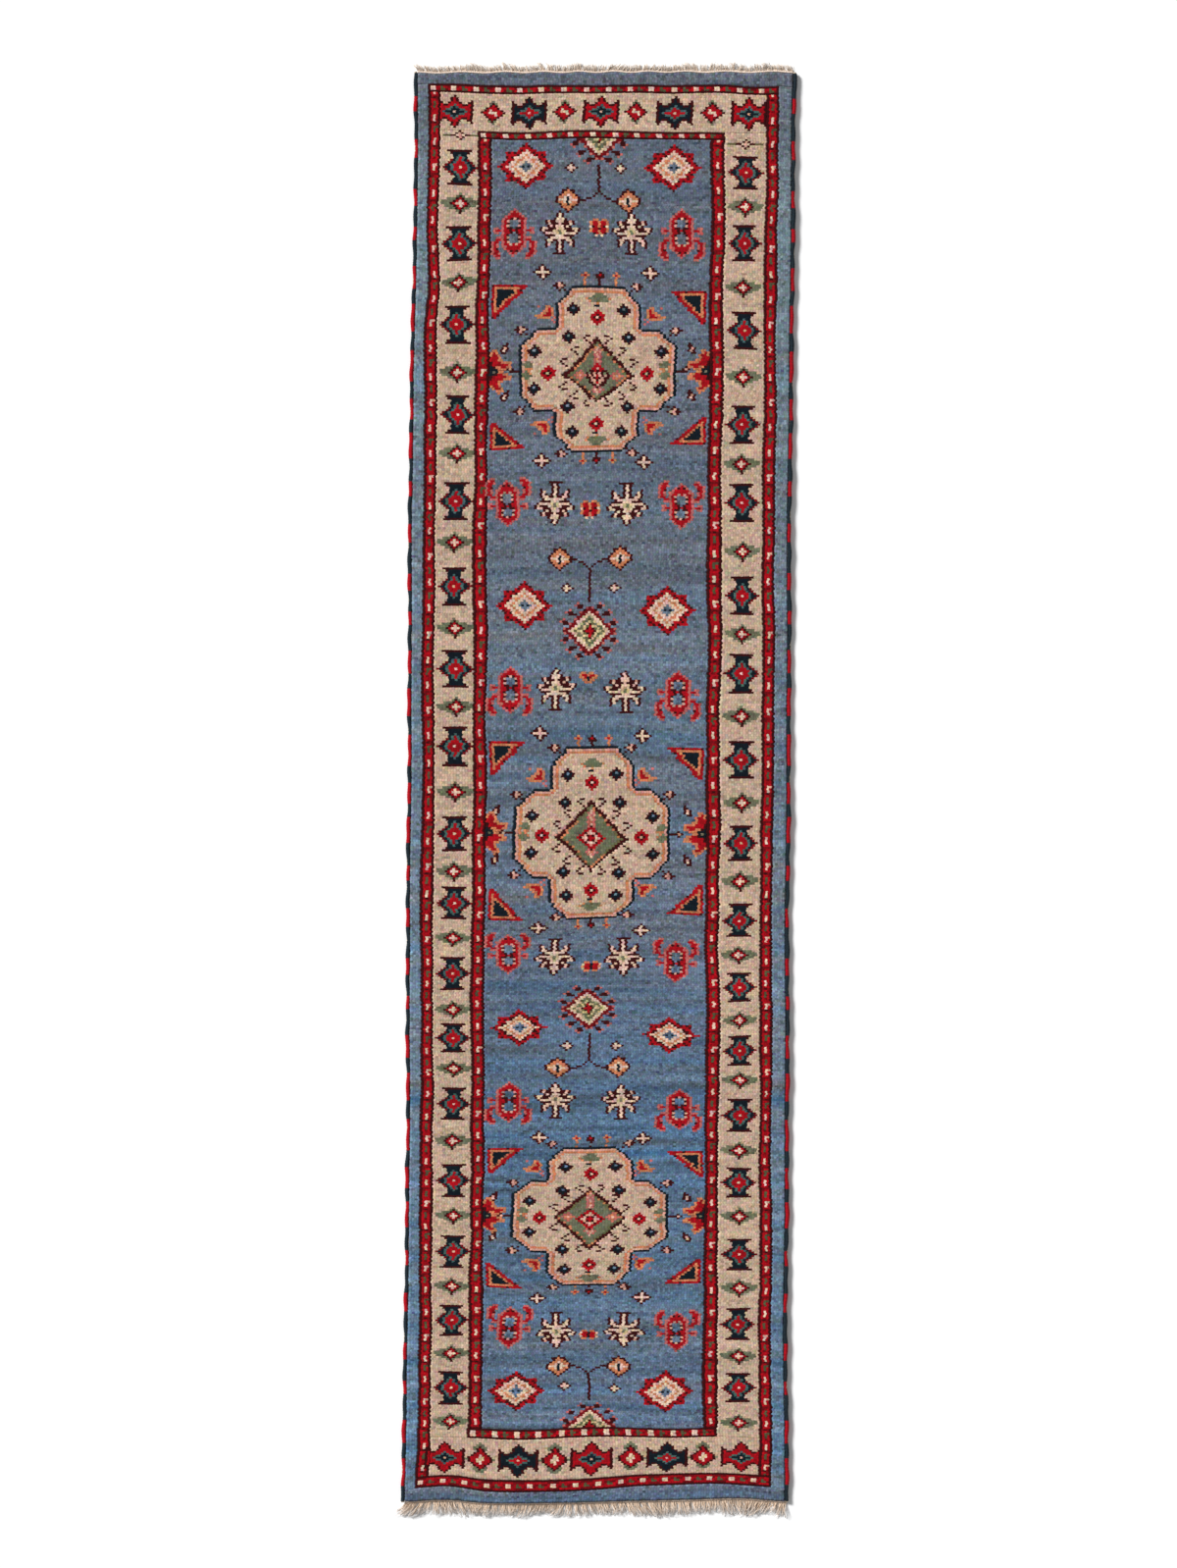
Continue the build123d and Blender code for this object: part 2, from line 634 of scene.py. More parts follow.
def medallion(cloth, col, row, end):
    """An ivory cross with cut corners, spotted with small diamonds."""
    mask = medallion_mask(col, row, end)
    for letter in "nkaI":
        cloth[mask] = letter
        mask = eaten(mask)
    for dx, dy in SPOTS:
        for side in (-1, 1):
            stamp(cloth, half(SPOT), col + side * dx, row + dy)
    for dx, dy in RED_SPOTS:
        stamp(cloth, quarter(RED_SPOT), col + dx, row + dy)
    stamp(cloth, chart(CAP)[::-1], col, row + 30)
    stamp(cloth, chart(CAP), col, row - 30)
    for side in (-1, 1):
        stamp(cloth, chart(BLOB)[:, ::-side], col + side * 25, row)


def around(cloth, col, row, end):
    """Stems, leaves and seeds on the blue round a medallion."""
    heads = {"a": half(".a\nar\n.a"), "m": half(".m\nmr\nmm")}
    for dx, letter in ((-5, "a"), (0, "m"), (6, "a")):
        line(cloth, letter, [(col + dx, row - end - 1 - step) for step in range(3)])
        stamp(cloth, heads[letter], col + dx, row - end - 4.5)
        line(cloth, letter, [(col + dx, row + end + 1 + step) for step in range(2)])
        stamp(cloth, heads[letter][::-1], col + dx, row + end + 3.5)
    for side in (-1, 1):
        seed, leaf, bud = (chart(text)[:, ::-side] for text in (SEED, LEAF, BUD))
        for dx, dy in ((14, -36), (28, -17)):
            stamp(cloth, seed[::-1, ::-1], col + side * dx, row + dy)
        for dx, dy in ((28, 17), (13, 36)):
            stamp(cloth, seed[:, ::-1], col + side * dx, row + dy)
        stamp(cloth, leaf, col + side * 20, row - 24)
        stamp(cloth, leaf[::-1], col + side * 20, row + 24)
        for dy in (-10, 11):
            stamp(cloth, bud, col + side * 34.5, row + dy)
        line(cloth, "m", [(col + side * dx, row) for dx in (29, 30, 31)])
        stamp(cloth, half(".m\nmk\n.m"), col + side * 32, row)


# Each pair: motif, left column, right column, row, how many rows lower the right one is.
PAIRS = (
    ("little_cross", 57, 75, 42, 0),
    ("beetle", 36, 97, 71, 0), ("flower", 53, 79, 70, 0), ("cross", 47, 86, 87, 0),
    ("cross", 47, 84, 169, 1), ("beetle_down", 35, 98, 187, 1), ("flower_down", 52, 78, 187, 1),
    ("little_cross", 57, 74, 224, 0),
    ("beetle", 36, 97, 269, 1), ("flower", 53, 78, 268, 1), ("cross", 47, 84, 287, 1),
    ("cross", 47, 84, 371, 3), ("beetle_down", 36, 97, 385, 3), ("flower_down", 53, 78, 386, 1),
    ("little_cross", 57, 75, 431, 1),
    ("beetle", 36, 98, 461, 3), ("flower", 53, 77, 459, 1), ("cross", 47, 85, 478, 1),
    ("cross", 47, 85, 560, -1), ("beetle_down", 37, 98, 575, 1), ("flower_down", 54, 79, 577, -1),
    ("little_cross", 57, 75, 605, 1),
)
SINGLES = (
    ("rosette", 67, 68), ("rosette", 65, 190), ("sprig", 65, 263),
    ("figure", 66, 391), ("figure", 66, 579),
)
# Column, row and height in rows.
STARS = (
    (40, 41, 20), (94, 42, 20), (41, 232, 20), (93, 234, 20),
    (40, 422, 18), (95, 426, 18), (40, 607, 21), (94, 607, 20),
)
# Row of the level leg, 1 if the triangle hangs below it, height in rows.
TRIANGLES = (
    (93, 1, 15), (163, -1, 12), (291, 1, 14), (367, -1, 14), (484, 1, 13), (554, -1, 12),
)


PALMETTES = ((67, 28), (65, 243), (65, 413), (66, 626))
# Column, first row, rows, and 1 if the fork is below.
STEMS = ((67, 41, 12, 1), (65, 230, 16, -1), (65, 426, 13, 1), (66, 612, 14, -1))


def field(cloth):
    """Everything on the blue ground."""
    motifs = {
        "beetle": half(BEETLE), "flower": half(FLOWER),
        "cross": quarter(CROSS), "little_cross": quarter(LITTLE_CROSS),
        "rosette": half(ROSETTE), "sprig": half(SPRIG), "figure": quarter(FIGURE),
    }
    motifs["beetle_down"] = motifs["beetle"][::-1]
    motifs["flower_down"] = motifs["flower"][::-1]
    for name, left, right, row, drop in PAIRS:
        stamp(cloth, motifs[name], left, row)
        stamp(cloth, motifs[name], right, row + drop)
    for col, row, rows in STARS:
        star(cloth, col, row, rows)
    for name, col, row in SINGLES:
        stamp(cloth, motifs[name], col, row)
    for row, way, rows in TRIANGLES:
        triangle(cloth, FIELD_LEFT + 1, row, 1, way, rows)
        triangle(cloth, FIELD_LEFT + FIELD_KNOTS - 2, row + 2 * way, -1, way, rows)
    for col, row, end, drop, up, down, middle, side_arms in MEDALLIONS.values():
        medallion(cloth, col, row, end)
        heart(cloth, col, row + drop, up, down, middle, side_arms)
        around(cloth, col, row, end)
        half_star(cloth, FIELD_LEFT, row, 1)
        half_star(cloth, FIELD_LEFT + FIELD_KNOTS - 1, row, -1)
    for col, row in PALMETTES:
        palmette(cloth, col, row)
    for col, row, rows, way in STEMS:
        stem(cloth, col, row, rows, way)


def woven():
    """The whole chart."""
    cloth = np.full((ROWS, COLS), "b")
    fill_zones(cloth)
    guard(cloth, 1)
    guard(cloth, 3)
    main_border(cloth)
    field(cloth)
    return cloth


# ---- where the knots are, in metres ----
ZONES = ("edge_band", "outer_guard", "main_border", "inner_guard")
STRETCHES = ("north", "mid_north", "mid_south", "south")
DENSE_FROM = 0.55            # share of the field where the weaver began to beat harder
DENSE_OVER = 0.03            # share of the field over which the beat changed
DENSE_BY = 0.15              # how much closer the rows are from there on

pile_low, pile_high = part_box("pile_edge_band_top")
end_low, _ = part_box("pile_edge_band_bottom")
LEFT, RIGHT = pile_low.x, pile_high.x
TOP, BOTTOM = pile_high.y, end_low.y
PILE_BASE, PILE_TOP = pile_low.z, pile_high.z
HALF_WIDTH = (RIGHT - LEFT) / 2


def row_edges():
    """Where each row of knots starts along the rug, from the top end down."""
    edges = []
    for zone, rows in zip(ZONES, TOP_ROWS):
        low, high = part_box(f"pile_{zone}_top")
        edges.extend(np.linspace(high.y, low.y, rows, endpoint=False))
    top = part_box("pile_inner_guard_top")[0].y
    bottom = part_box("pile_inner_guard_bottom")[1].y
    share = (np.arange(FIELD_ROWS) + 0.5) / FIELD_ROWS
    beat = np.clip((share - DENSE_FROM) / DENSE_OVER, 0, 1)
    pitch = 1 - DENSE_BY * beat
    down = np.concatenate([[0], np.cumsum(pitch)]) / pitch.sum()
    edges.extend(top + (bottom - top) * down[:-1])
    for zone, rows in zip(ZONES[::-1], BOTTOM_ROWS[::-1]):
        low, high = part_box(f"pile_{zone}_bottom")
        edges.extend(np.linspace(high.y, low.y, rows, endpoint=False))
    return np.array(edges + [BOTTOM])


ROW_Y = row_edges()
COL_X = np.linspace(LEFT, RIGHT, COLS + 1)


def bell(value, middle, width):
    """1 at the middle, and falling smoothly to nothing on both sides."""
    return np.exp(-((value - middle) / width) ** 2)


def settle(points):
    """How the rug really lies: a little askew, drawn in near the top, in slack waves."""
    x, y, z = np.moveaxis(np.asarray(points, float), -1, 0)
    left = np.clip(-x / HALF_WIDTH, 0, 1.1) ** 2
    right = np.clip(x / HALF_WIDTH, 0, 1.1) ** 2
    askew = 0.0045 * y + 0.0022 * y ** 3 + 0.0007 * np.sin(9.3 * y + 0.6) - 0.0022 * np.cos(1.3 * y)
    flare = 0.012 * x * bell(y, -1.2, 0.2)
    drawn_in = 0.0036 * bell(y, 1.0, 0.16) * left
    ripple = 0.0004 * np.sin(23 * y + 1.1) * left + 0.0005 * np.sin(19 * y + 2.7) * right
    outward = np.clip(np.abs(x) / 0.272, 0, 1) * np.clip((HALF_WIDTH - 0.008 - np.abs(x)) / 0.04, 0, 1)
    spread = np.where(x < 0, -0.0031, 0.0038) * outward
    bow = 0.0012 * np.sin(5.2 * x + 0.8) * np.sin(2.1 * y)
    near_top = np.clip((1.195 - y) / 0.02, 0, 1) * np.clip((y - 0.35) / 0.5, 0, 1)
    dropped = -0.0055 * np.clip((x + 0.1) / 0.42, 0, 1) * near_top
    wavy = (0.0022 + 0.0062 * np.sin(10.1 * x)) * bell(y, -1.155, 0.035)
    humps = bell(x, -0.249, 0.045) + bell(x, 0.232, 0.06)
    wavy = wavy + 0.0038 * humps * bell(y, -1.18, 0.04)
    crease = 0.0036 * bell(x, -0.226, 0.035) - 0.004 * bell(x, -0.315, 0.035)
    wavy = wavy + crease * bell(y, -1.145, 0.035)
    wavy = wavy + 0.0011 * np.sin(83 * x + 4 * np.sin(7 * x)) * bell(y, 1.2, 0.025)
    swell = 0.5 + 0.25 * np.sin(15.5 * y + 3.1 * x + 0.7) + 0.25 * np.sin(10.1 * y - 13 * x + 2.1)
    lift = 0.0016 * swell + 0.0012 * (left + right) * (0.5 + 0.5 * np.sin(12.3 * y + 5 * x))
    across = x + spread + askew + flare + drawn_in + ripple
    along = y + bow + dropped + wavy
    return np.stack([across, along, z + lift], -1)


# ---- dyes: sRGB out of 255 ----
DYES = {
    "B": (101, 110, 125), "S": (112, 128, 144), "I": (204, 175, 151), "i": (230, 196, 174),
    "k": (214, 162, 144), "r": (168, 2, 22), "d": (116, 4, 16), "m": (60, 3, 9),
    "n": (12, 24, 33), "g": (110, 113, 89), "q": (82, 84, 58), "s": (188, 102, 98), "a": (204, 126, 88),
    "t": (70, 100, 98), "y": (208, 186, 140), "o": (104, 101, 66),
}
# The field's blue, from the top of the field to its bottom: share of the way, sRGB.
FIELD_BLUES = (
    (0.0, (101, 110, 124)), (0.22, (104, 114, 129)), (0.3, (105, 116, 131)),
    (0.36, (104, 119, 136)), (0.48, (107, 120, 137)), (0.62, (101, 116, 136)),
    (0.74, (88, 118, 148)), (0.86, (93, 117, 142)), (1.0, (100, 118, 141)),
)
# The side bands' blue in the same way.
SIDE_BLUES = (
    (0.0, (106, 117, 129)), (0.04, (124, 141, 151)), (0.45, (118, 134, 150)), (1.0, (105, 134, 161)),
)
RIGHT_SIDE_TONE = (0.95, 0.93, 0.92)     # the right band is a little darker than the left
ALBEDO = 0.86                # dye to reflectance, under this scene's light
WRAP_DYES = {"navy": (30, 42, 50), "red": (170, 8, 26)}
GROUND_COTTON = (188, 172, 152)
CORE_COTTON = (190, 172, 150)
# The lip and twining cotton: their cream colour, painted lighter still as painted light so that they read
# pale in the pile's shadow.
LIP_COTTON_WITH_PAINTED_LIGHT = (226, 208, 190)
TWINING_COTTON_WITH_PAINTED_LIGHT = (240, 220, 204)


def linear(srgb):
    """sRGB out of 255 as linear light."""
    c = np.asarray(srgb, float) / 255
    return np.where(c <= 0.04045, c / 12.92, ((c + 0.055) / 1.055) ** 2.4)


def reflected(srgb):
    """The linear colour that yarn of that dye gives back."""
    return linear(srgb) * ALBEDO


def smooth_noise(rng, shape, down, across):
    """Noise of unit spread that is smooth over that many rows and knots."""
    noise = rng.standard_normal(shape)
    for axis, reach in ((0, down), (1, across)):
        if reach > 0:
            span = np.arange(-3 * math.ceil(reach), 3 * math.ceil(reach) + 1)
            weights = np.exp(-0.5 * (span / reach) ** 2)
            padded = np.pad(noise, [(len(span) // 2,) * 2 if a == axis else (0, 0) for a in (0, 1)], "wrap")
            noise = np.apply_along_axis(np.convolve, axis, padded, weights / weights.sum(), "valid")
    return noise / noise.std()


def grain_noise(rng, shape, limit):
    """Noise of unit spread from knot to knot, cut off at that limit."""
    return np.clip(rng.standard_normal(shape), -limit, limit)


def along_field(stops, share):
    """A blue for every knot, from stops of share and sRGB along the field."""
    places = [stop for stop, _ in stops]
    blues = linear([srgb for _, srgb in stops])
    rows = np.stack([np.interp(share, places, blues[:, k]) for k in range(3)], -1)
    return np.repeat(rows[:, None], COLS, 1)


STREAKS = 0.115              # the blues: abrash from row to row
LOTS = 0.03                  # slow changes from one lot of yarn to the next
OTHER_STREAKS = 0.35         # the other dyes, as a share of the blues
WARMTH = (0.07, 0, -0.045)   # streaks turn from warm to cold
BLUE_GRAIN, OTHER_GRAIN = 0.22, 0.14         # from knot to knot
KNOT_TINT = 0.08


def dyed(cloth):
    """Linear colour of every knot, with abrash and the unevenness of hand-spun wool."""
    rng = np.random.default_rng(11)
    colour = np.zeros((ROWS, COLS, 3))
    for letter, srgb in DYES.items():
        colour[cloth == letter] = linear(srgb)
    share = np.clip((np.arange(ROWS) - FIELD_TOP) / FIELD_ROWS, 0, 1)
    blue = along_field(FIELD_BLUES, share)
    side_blue = along_field(SIDE_BLUES, share)
    side_blue[:, COLS // 2:] *= RIGHT_SIDE_TONE
    field_knots, band_knots, side_knots = cloth == "b", cloth == "B", cloth == "S"
    colour[field_knots] = blue[field_knots]
    colour[side_knots] = side_blue[side_knots]
    colour[band_knots] = 0.45 * colour[band_knots] + 0.55 * blue[band_knots] * 0.9
    blues = (field_knots | band_knots | side_knots)[..., None]
    streak = smooth_noise(rng, (ROWS, COLS), 0.8, 14)
    lots = smooth_noise(rng, (ROWS, COLS), 5, 45)
    hue = smooth_noise(rng, (ROWS, COLS), 1.2, 18)
    grain = grain_noise(rng, (ROWS, COLS), 2.2)[..., None]
    tint = grain_noise(rng, (ROWS, COLS, 3), 2)
    lively = 0.7 + 0.6 * share[:, None]
    shade = (STREAKS * streak * lively + LOTS * lots)[..., None]
    warm = hue[..., None] * WARMTH * lively[..., None]
    colour *= np.where(blues, 1 + shade + warm, 1 + OTHER_STREAKS * shade)
    coarse = np.where(blues, BLUE_GRAIN, OTHER_GRAIN)
    colour *= 1 + coarse * grain + KNOT_TINT * tint
    return np.clip(colour, 0.002, 0.95) * ALBEDO


# ---- materials ----
def fill(made, values):
    """Sets a node's sockets or properties by name."""
    for key, value in values.items():
        if key in made.inputs:
            made.inputs[key].default_value = value
        else:
            setattr(made, key, value)


def node(tree, kind, **values):
    """A node with its sockets or properties set."""
    made = tree.nodes.new(kind)
    fill(made, values)
    return made


NOISE_MIDDLE = {"From Min": 0.3, "From Max": 0.7}      # where most of a noise's values lie


def ranged(tree, value, low, high, **limits):
    """That value, mapped to the range from low to high."""
    made = node(tree, "ShaderNodeMapRange", **{"To Min": low, "To Max": high}, **limits)
    tree.links.new(value, made.inputs["Value"])
    return made.outputs["Result"]


def fibre(name, sheen, rough, fine, speckle, lump, bump):
    """Yarn whose colour comes from the mesh, broken up by fibres at two scales."""
    material = bpy.data.materials.new(name)
    material.use_nodes = True
    tree = material.node_tree
    link = tree.links.new
    shader = tree.nodes["Principled BSDF"]
    # The mesh colours hold the dye and, on the pile, the selvedge wraps and the end cotton, painted light
    # and shade.
    dye = node(tree, "ShaderNodeAttribute", attribute_name="dye")
    place = node(tree, "ShaderNodeTexCoord")
    small = node(tree, "ShaderNodeTexNoise", Scale=fine, Detail=3.0, Roughness=0.6)
    large = node(tree, "ShaderNodeTexNoise", Scale=fine / 5, Detail=2.0, Roughness=0.5)
    link(place.outputs["Object"], small.inputs["Vector"])
    link(place.outputs["Object"], large.inputs["Vector"])
    both = node(tree, "ShaderNodeMath", operation="MULTIPLY")
    link(ranged(tree, small.outputs["Fac"], 1 - speckle, 1 + speckle, **NOISE_MIDDLE), both.inputs[0])
    link(ranged(tree, large.outputs["Fac"], 1 - lump, 1 + lump, **NOISE_MIDDLE), both.inputs[1])
    tinted = node(tree, "ShaderNodeVectorMath", operation="SCALE")
    link(dye.outputs["Color"], tinted.inputs[0])
    link(both.outputs["Value"], tinted.inputs["Scale"])
    link(tinted.outputs["Vector"], shader.inputs["Base Color"])
    dull = ranged(tree, small.outputs["Fac"], rough - 0.1, min(rough + 0.1, 1))
    link(dull, shader.inputs["Roughness"])
    raised = node(tree, "ShaderNodeBump", Strength=0.6, Distance=bump)
    link(small.outputs["Fac"], raised.inputs["Height"])
    link(raised.outputs["Normal"], shader.inputs["Normal"])
    fill(shader, {"Sheen Weight": sheen, "Sheen Roughness": 0.5, "Specular IOR Level": 0.1})
    return material


# Sheen, roughness, scale of the fibres, speckle, lumps, and height of the fibres in metres.
YARNS = {
    "field_wool": (0.06, 0.9, 900, 0.22, 0.08, 0.0005),
    "edge_band_wool": (0.08, 0.9, 900, 0.22, 0.08, 0.0005),
    "guard_wool": (0.02, 0.92, 900, 0.2, 0.08, 0.0005),
    "border_wool": (0.04, 0.9, 950, 0.14, 0.06, 0.0005),
    "medallion_wool": (0.04, 0.9, 950, 0.14, 0.06, 0.0005),
    "heart_wool": (0.04, 0.9, 900, 0.18, 0.08, 0.0005),
    "selvedge_navy_wool": (0.1, 0.85, 1400, 0.25, 0.1, 0.0003),
    "selvedge_red_wool": (0.1, 0.85, 1400, 0.25, 0.1, 0.0003),
    "core_cotton": (0.05, 0.85, 1500, 0.15, 0.08, 0.0002),
    "foundation_cotton": (0.05, 0.9, 700, 0.18, 0.08, 0.0004),
    "end_cotton": (0.05, 0.85, 1500, 0.16, 0.08, 0.0002),
    "fringe_cotton": (0.08, 0.85, 1700, 0.18, 0.08, 0.0002),
}
FINISHES = {name: fibre(name, *values) for name, values in YARNS.items()}


# ---- pieces ----
def grid_faces(high, wide, first=0):
    """The faces between a grid of points, which are numbered row by row from first."""
    at = first + np.arange(high * wide).reshape(high, wide)
    return np.stack([at[:-1, :-1], at[:-1, 1:], at[1:, 1:], at[1:, :-1]], -1).reshape(-1, 4)


def piece(name, points, faces, colours, smooth, slot, nodes):
    """A mesh piece on the rug. faces is a list of index arrays, and colours has one array for each,
    with a colour for every corner. It lies as the rug does."""
    mesh = bpy.data.meshes.new(name)
    settled = settle(points).astype(np.float32)
    loops = np.concatenate([f.ravel() for f in faces])
    totals = np.concatenate([np.full(len(f), f.shape[1]) for f in faces])
    starts = np.concatenate([[0], np.cumsum(totals)[:-1]])
    mesh.vertices.add(len(settled))
    mesh.vertices.foreach_set("co", settled.ravel())
    mesh.loops.add(len(loops))
    mesh.loops.foreach_set("vertex_index", loops.astype(np.int32))
    mesh.polygons.add(len(totals))
    mesh.polygons.foreach_set("loop_start", starts.astype(np.int32))
    mesh.polygons.foreach_set(
        "use_smooth", np.concatenate([np.full(len(f), s) for f, s in zip(faces, smooth)]))
    mesh.update(calc_edges=True)
    mesh.validate()
    rgba = np.ones((len(loops), 4), np.float32)
    rgba[:, :3] = np.concatenate([np.asarray(c).reshape(-1, 3) for c in colours])
    # This colour attribute holds the dye and, on some pieces, painted light and shade.
    dye = mesh.color_attributes.new("dye", "FLOAT_COLOR", "CORNER")
    dye.data.foreach_set("color", rgba.ravel())
    mesh.materials.append(FINISHES[slot])
    made = bpy.data.objects.new(name, mesh)
    bpy.context.scene.collection.objects.link(made)
    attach(made, "root")
    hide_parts(*nodes)
    return made


# ---- knotted pile ----
TUFT_DIP = 0.0006            # how far the gaps between tufts lie below their tips
CORNER_DIP = 0.0011          # and the corners where four tufts meet
CONTOUR_DIP = 0.0004         # extra where two colours meet
NAVY_WEAR = 0.0005           # dark dyes eat the wool, so their pile is lower
CLIP_WAVES = 0.0002          # the shears didn't keep quite level
TIP_GRAIN = 0.00022          # nor did single tufts
TIP_SPREAD = 0.00035         # how far tips lean to and fro
ROW_SWAY = 0.001             # rows sit a little left or right of each other
EDGE_ROLL = 0.0014           # the pile rolls over at the rug's outline
STILL_EDGE = 0.02            # the drifts fade out this near the outline
DRIFTS = ((4, 0.0011), (9, 0.0014))      # across and along: smooth over that many knots, metres
# Painted light and shade in the pile's colours: tips painted lighter, gaps and corners between tufts
# painted darker.
PAINTED_TIP_LIGHT = 1.06
PAINTED_ROW_GAP_SHADE = 0.94
PAINTED_COLUMN_GAP_SHADE = 0.76      # painted shade in the gaps: the columns part more than the rows, as fine ribs along the rug
PAINTED_CORNER_SHADE = 0.7
PAINTED_WALL_SHADES = (0.85, 0.85, 0.85, 0.45, 0.45)     # painted shade, darker towards the base: three corners at the top, two at the base
# Painted shade on the base of the pile, under the tufts.
PAINTED_BASE_SHADE = 0.5
BACK_SHADE = 0.9             # the knots' backs on the underside


def tuft_lattice(cloth):
    """Two steps a knot each way: tips at the odd places, gaps between tufts at the even ones."""
    rng = np.random.default_rng(5)
    y = np.interp(np.arange(2 * ROWS + 1) / 2, np.arange(ROWS + 1), ROW_Y)
    x = np.interp(np.arange(2 * COLS + 1) / 2, np.arange(COLS + 1), COL_X)
    x, y = np.meshgrid(x, y)
    z = np.full(x.shape, PILE_TOP)
    z[::2] -= TUFT_DIP
    z[:, ::2] -= TUFT_DIP
    z[::2, ::2] -= CORNER_DIP - 2 * TUFT_DIP
    clip = smooth_noise(rng, (ROWS, COLS), 3, 3)
    z[1::2, 1::2] += CLIP_WAVES * clip + TIP_GRAIN * grain_noise(rng, (ROWS, COLS), 2)
    z[1::2, 1::2] -= NAVY_WEAR * np.isin(cloth, ["n", "m"])
    z[2:-1:2, 1::2] -= CONTOUR_DIP * (cloth[1:] != cloth[:-1])
    z[1::2, 2:-1:2] -= CONTOUR_DIP * (cloth[:, 1:] != cloth[:, :-1])
    inner = (slice(1, -1), slice(1, -1))
    fade_in = np.minimum(1, np.minimum(x - LEFT, RIGHT - x) / STILL_EDGE)
    fade_in = fade_in * np.minimum(1, np.minimum(TOP - y, y - BOTTOM) / STILL_EDGE)
    shape = z[inner].shape
    x[inner] += TIP_SPREAD * grain_noise(rng, shape, 1.6)
    y[inner] += TIP_SPREAD * 0.8 * grain_noise(rng, shape, 1.6)
    row_shift = ROW_SWAY * (0.6 * rng.standard_normal((ROWS, 1)) + 0.8 * (-1.0) ** np.arange(ROWS)[:, None])
    x[1::2, 1:-1] += row_shift
    x[2:-1:2, 1:-1] += (row_shift[1:] + row_shift[:-1]) / 2
    for wander, (across, amount) in zip((x, y), DRIFTS):
        drift = smooth_noise(rng, (ROWS, COLS), 9, across)
        drift = np.pad(np.repeat(np.repeat(drift, 2, 0), 2, 1), ((0, 1), (0, 1)), "edge")
        drift = (drift + np.roll(drift, 1, 0) + np.roll(drift, 1, 1)) / 3
        wander[inner] += amount * (drift * fade_in)[inner]
    for side, way in ((0, 1), (-1, -1)):
        y[side] += way * 0.0006 * rng.standard_normal(y.shape[1])
        x[:, side] -= way * 0.0004 * rng.standard_normal(x.shape[0])
        z[side] -= EDGE_ROLL
        z[:, side] -= EDGE_ROLL * 0.5
    return np.stack([x, y, z], -1)


TUFT_QUARTERS = ((1, 0), (1, 1), (0, 1), (0, 0))


def knots(name, mask, lattice, colour, slot, node_name):
    """The tufts of the masked knots as one closed piece of pile."""
    wide = lattice.shape[1]
    flat = lattice.reshape(-1, 3)
    r, c = np.nonzero(mask)
    at = {(i, j): (2 * r + i) * wide + 2 * c + j for i in range(3) for j in range(3)}
    rings = [((i + 1, j), (i + 1, j + 1), (i, j + 1), (i, j)) for i, j in TUFT_QUARTERS]
    tops = [np.stack([at[k] for k in ring], -1) for ring in rings]
    top_faces = np.stack(tops, 1).reshape(-1, 4)
    base_faces = np.stack([at[k] for k in ((0, 0), (0, 2), (2, 2), (2, 0))], -1)
    beyond = np.pad(mask, 1)
    sides = (
        (beyond[:-2, 1:-1], ((0, 0), (0, 1), (0, 2))),
        (beyond[2:, 1:-1], ((2, 2), (2, 1), (2, 0))),
        (beyond[1:-1, :-2], ((2, 0), (1, 0), (0, 0))),
        (beyond[1:-1, 2:], ((0, 2), (1, 2), (2, 2))),
    )
    walls, wall_knots = [], []
    for neighbour, (first, middle, last) in sides:
        open_side = ~neighbour[r, c]
        walls.append(np.stack([at[k][open_side] for k in (first, middle, last, last, first)], -1))
        wall_knots.append(np.nonzero(open_side)[0])
    walls = np.concatenate(walls)
    wall_knots = np.concatenate(wall_knots)
    top_used = np.unique(np.concatenate([top_faces.ravel(), walls[:, :3].ravel()]))
    base_used = np.unique(base_faces)
    base_points = flat[base_used].copy()
    base_points[:, 2] = PILE_BASE
    points = np.concatenate([flat[top_used], base_points])

    def at_top(ids):
        return np.searchsorted(top_used, ids)

    def at_base(ids):
        return len(top_used) + np.searchsorted(base_used, ids)

    faces = [
        at_top(top_faces),
        at_base(base_faces),
        np.hstack([at_top(walls[:, :3]), at_base(walls[:, 3:])]),
    ]
    tint = colour[r, c]
    # Painted light and shade: tips lighter, gaps between tufts darker, walls darker towards the base, base
    # darker.
    shade = {(0, 0): PAINTED_CORNER_SHADE, (0, 1): PAINTED_ROW_GAP_SHADE, (1, 0): PAINTED_COLUMN_GAP_SHADE, (1, 1): PAINTED_TIP_LIGHT}
    painted_tuft_light = [[shade[(i % 2, j % 2)] for i, j in ring] for ring in rings]
    colours = [
        tint[:, None] * np.array(painted_tuft_light).reshape(1, 16, 1),
        np.repeat(tint[:, None], 4, 1) * PAINTED_BASE_SHADE,
        tint[wall_knots][:, None] * np.array(PAINTED_WALL_SHADES).reshape(1, 5, 1),
    ]
    return piece(name, points, faces, colours, (True, False, False), slot, [node_name])


def nearest_row(y):
    """The row of knots that starts nearest to that place along the rug."""
    return int(np.argmin(abs(ROW_Y - y)))


